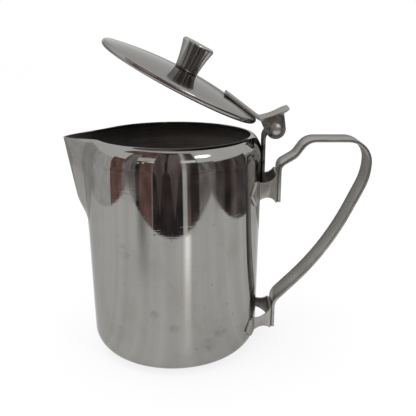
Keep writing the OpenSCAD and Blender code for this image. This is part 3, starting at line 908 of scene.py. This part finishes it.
def strip_material(line, half, shade, strengths, shares):
    """A strip that fades out to its sides and changes from the jug's foot to the edge of the sheet."""
    mat, t, out = new_material("strip")
    glow = t.node("ShaderNodeEmission", {"Color": (*getattr(bpy.context.scene.jug_colours, shade), 1)})
    x, y, _ = t.parts(t.node("ShaderNodeTexCoord").outputs["Object"])
    t.feed(t.ramp(y, *STRENGTH_Y, *strengths), glow, "Strength")
    # Distance from the strip's middle line, as a share of the distance from the jug
    across = t.plus(t.plus(x, line[0]), t.times(y, line[1]))
    across = t.maths("ABSOLUTE", t.maths("DIVIDE", across, y))
    soft = t.node("ShaderNodeMixShader")
    t.feed(t.times(t.ramp(across, half, 0.0), t.ramp(y, *SHARE_Y, *shares)), soft, "Fac")
    t.join(t.node("ShaderNodeBsdfTransparent"), "BSDF", soft, 1)
    t.join(glow, "Emission", soft, 2)
    t.join(soft, "Shader", out, "Surface")
    return mat


def round_jug(r, azimuth, z):
    return (r * cos(radians(azimuth)), r * sin(radians(azimuth)), z)


def on_sheet(p):
    return SHEET_X[0] < p.x < SHEET_X[1] and SHEET_Y[0] < p.y < SHEET_Y[1]


def card_object(bm, name, materials):
    """A stage object that only reflections show."""
    obj = placed(bm, name, materials)
    obj.visible_camera = False
    obj.visible_diffuse = False
    obj.visible_shadow = False


def room_cards(materials):
    """Cards on the floor round the sheet, and standing behind it, in sectors about the jug."""
    bm = bmesh.new()
    row = [bm.verts.new(p) for p in ((ROOM_HOLE, 0, CARD_Z), (ROOM_R, 0, CARD_Z), (ROOM_R, 0, 1))]
    geom = row + [bm.edges.new(row[0:2]), bm.edges.new(row[1:3])]
    bmesh.ops.rotate(bm, verts=row, cent=(0, 0, 0), matrix=Matrix.Rotation(ROOM_START, 3, "Z"))
    for arc, key, height in ROOM:
        before = set(bm.faces)
        for v in geom:
            if isinstance(v, bmesh.types.BMVert) and v.co.z > 2 * CARD_Z:
                v.co.z = height
        made = bmesh.ops.spin(
            bm,
            geom=geom,
            cent=(0, 0, 0),
            axis=(0, 0, 1),
            angle=radians(arc),
            steps=max(1, round(arc / ROOM_STEP)),
            use_duplicate=False,
        )
        for f in bm.faces:
            if f not in before:
                f.material_index = KEYS.index(key)
        # The next sector starts with edges of its own, so that each keeps its height
        geom = bmesh.ops.duplicate(bm, geom=made["geom_last"])["geom"]
    sides = [((x, 0, 0), (1, 0, 0)) for x in SHEET_X] + [((0, y, 0), (0, 1, 0)) for y in SHEET_Y]
    for at, normal in sides:
        bmesh.ops.bisect_plane(bm, geom=bm.verts[:] + bm.edges[:] + bm.faces[:], plane_co=at, plane_no=normal)
    middles = [(f, f.calc_center_median()) for f in bm.faces]
    inside = [f for f, middle in middles if middle.z < 2 * CARD_Z and on_sheet(middle)]
    bmesh.ops.delete(bm, geom=inside, context="FACES")
    card_object(bm, "room_cards", materials)


def light_cards(materials):
    """Small cards overhead, the drapes, and the soft strips on the sheet."""
    bm = bmesh.new()
    for azimuth, elevation, wide, tall, key in LIGHT_CARDS:
        up = radians(elevation)
        out = Vector(round_jug(cos(up), azimuth, sin(up)))
        place = Matrix.Translation(LIGHT_R * out + LIGHT_ROUND) @ out.to_track_quat("Z", "Y").to_matrix().to_4x4()
        made = bmesh.ops.create_grid(bm, x_segments=1, y_segments=1, size=0.5)
        bmesh.ops.scale(bm, vec=(wide, tall, 1), verts=made["verts"])
        bmesh.ops.transform(bm, matrix=place, verts=made["verts"])
        for f in made["verts"][0].link_faces:
            f.material_index = KEYS.index(key)
    for reach, azimuth, *hem in DRAPES:
        low = [bm.verts.new(round_jug(DRAPE_R, a, DRAPE_HEM)) for a in hem]
        high = [bm.verts.new(round_jug(DRAPE_R, a, DRAPE_H)) for a in reversed(hem)]
        point = bm.verts.new(round_jug(reach, azimuth, STRIP_Z))
        for face in (low + [point], low + high):
            bm.faces.new(face).material_index = KEYS.index("card_drape")
    strips = [strip_material(*look) for _, look in STRIPS]
    for i, (corners, _) in enumerate(STRIPS):
        bm.faces.new([bm.verts.new((x, y, STRIP_Z)) for x, y in corners]).material_index = len(materials) + i
    card_object(bm, "light_cards", materials + strips)


# The floor: half its width, how white it looks, and the depth, scale and levels of the soft bands that reflections
# see in it
FLOOR_REACH = 3.0
WHITE_SHARE = 0.8
BAND_DEPTH = 0.15
BAND_SCALE = 3.2
BAND_LEVELS = (0.35, 0.65)


def floor_material():
    """A matt pale floor that camera, glossy and transmission rays see almost white."""
    mat, t, out = new_material("floor")
    matt = t.node("ShaderNodeBsdfDiffuse", {"Color": (*bpy.context.scene.jug_colours.floor, 1)})
    white = t.node("ShaderNodeEmission", {"Color": (1, 1, 1, 1)})
    path = t.node("ShaderNodeLightPath").outputs
    away = t.node("ShaderNodeVectorMath", operation="NORMALIZE")
    t.join(t.node("ShaderNodeTexCoord"), "Object", away, 0)
    bands = t.ramp(t.noise(away.outputs["Vector"], BAND_SCALE, 3.0, 0.6), *BAND_LEVELS, 0.0, BAND_DEPTH)
    t.feed(t.maths("SUBTRACT", 1.0, t.times(bands, path["Is Glossy Ray"])), white, "Strength")
    seen = t.most(t.most(path["Is Camera Ray"], path["Is Glossy Ray"]), path["Is Transmission Ray"])
    mixed = t.node("ShaderNodeMixShader")
    t.feed(t.times(seen, WHITE_SHARE), mixed, "Fac")
    t.join(matt, "BSDF", mixed, 1)
    t.join(white, "Emission", mixed, 2)
    t.join(mixed, "Shader", out, "Surface")
    return mat


class JUG_OT_stage(bpy.types.Operator):
    """Lay the pale floor, stand the cards that only reflections show, and set the lamps and the camera"""

    bl_idname = "jug.stage"
    bl_label = "Studio"

    def execute(self, context):
        scene = context.scene
        bm = bmesh.new()
        bmesh.ops.create_grid(bm, x_segments=8, y_segments=8, size=FLOOR_REACH)
        floor = placed(bm, "floor", [floor_material()])
        materials = [card_material(key, tuple(getattr(scene.jug_colours, key)), CARDS[key]) for key in KEYS]
        room_cards(materials)
        light_cards(materials)
        # World
        world = bpy.data.worlds.new("studio")
        scene.world = world
        t, out = emptied(world, "ShaderNodeOutputWorld")
        sky = t.node("ShaderNodeBackground", {"Color": (1, 1, 1, 1), "Strength": 1.0})
        t.join(sky, "Background", out, "Surface")
        # Lamps
        key = area_lamp("key", KEY_AT, (0, 0, 0.1), KEY_SIZE[0], KEY_POWER)
        key.data.shape = "ELLIPSE"
        key.data.size_y = KEY_SIZE[1]
        key.data.color = KEY_COLOUR
        fill = area_lamp("fill", FILL_AT, (0, 0, 0.06), FILL_SIZE, FILL_POWER)
        fill.visible_glossy = False
        # Camera
        cam = bpy.data.cameras.new("camera")
        cam.lens = CAMERA_LENS
        cam.sensor_width = 36.0
        cam.clip_start = 0.01
        eye = bpy.data.objects.new("camera", cam)
        eye.location = CAMERA_AT
        eye.rotation_euler = (pi / 2 - CAMERA_TILT, 0, 0)
        scene.collection.objects.link(eye)
        scene.camera = eye
        scene.view_settings.view_transform = "Standard"
        return {"FINISHED"}


class JUG_PT_panel(bpy.types.Panel):
    """Lists the pieces of the jug and their sizes and colours"""

    bl_idname = "JUG_PT_panel"
    bl_label = "Milk jug"
    bl_space_type = "VIEW_3D"
    bl_region_type = "UI"
    bl_category = "Milk jug"

    def draw(self, context):
        column = self.layout.column()
        for op in OPERATORS:
            column.operator(op.bl_idname)
        for group in (context.scene.jug_sizes, context.scene.jug_colours):
            for key in group.__annotations__:
                column.prop(group, key)


OPERATORS = (JUG_OT_body, JUG_OT_strips, JUG_OT_lid, JUG_OT_knob, JUG_OT_hinge, JUG_OT_stage)
CLASSES = (JugSizes, JugColours, *OPERATORS, JUG_PT_panel)


def register():
    for c in CLASSES:
        bpy.utils.register_class(c)
    bpy.types.Scene.jug_sizes = PointerProperty(type=JugSizes)
    bpy.types.Scene.jug_colours = PointerProperty(type=JugColours)


def unregister():
    del bpy.types.Scene.jug_colours
    del bpy.types.Scene.jug_sizes
    for c in reversed(CLASSES):
        bpy.utils.unregister_class(c)


def main():
    register()
    bpy.ops.jug.body()
    bpy.ops.jug.strips()
    bpy.ops.jug.lid()
    bpy.ops.jug.knob()
    bpy.ops.jug.hinge()
    bpy.ops.jug.stage()


if __name__ == "__main__":
    main()
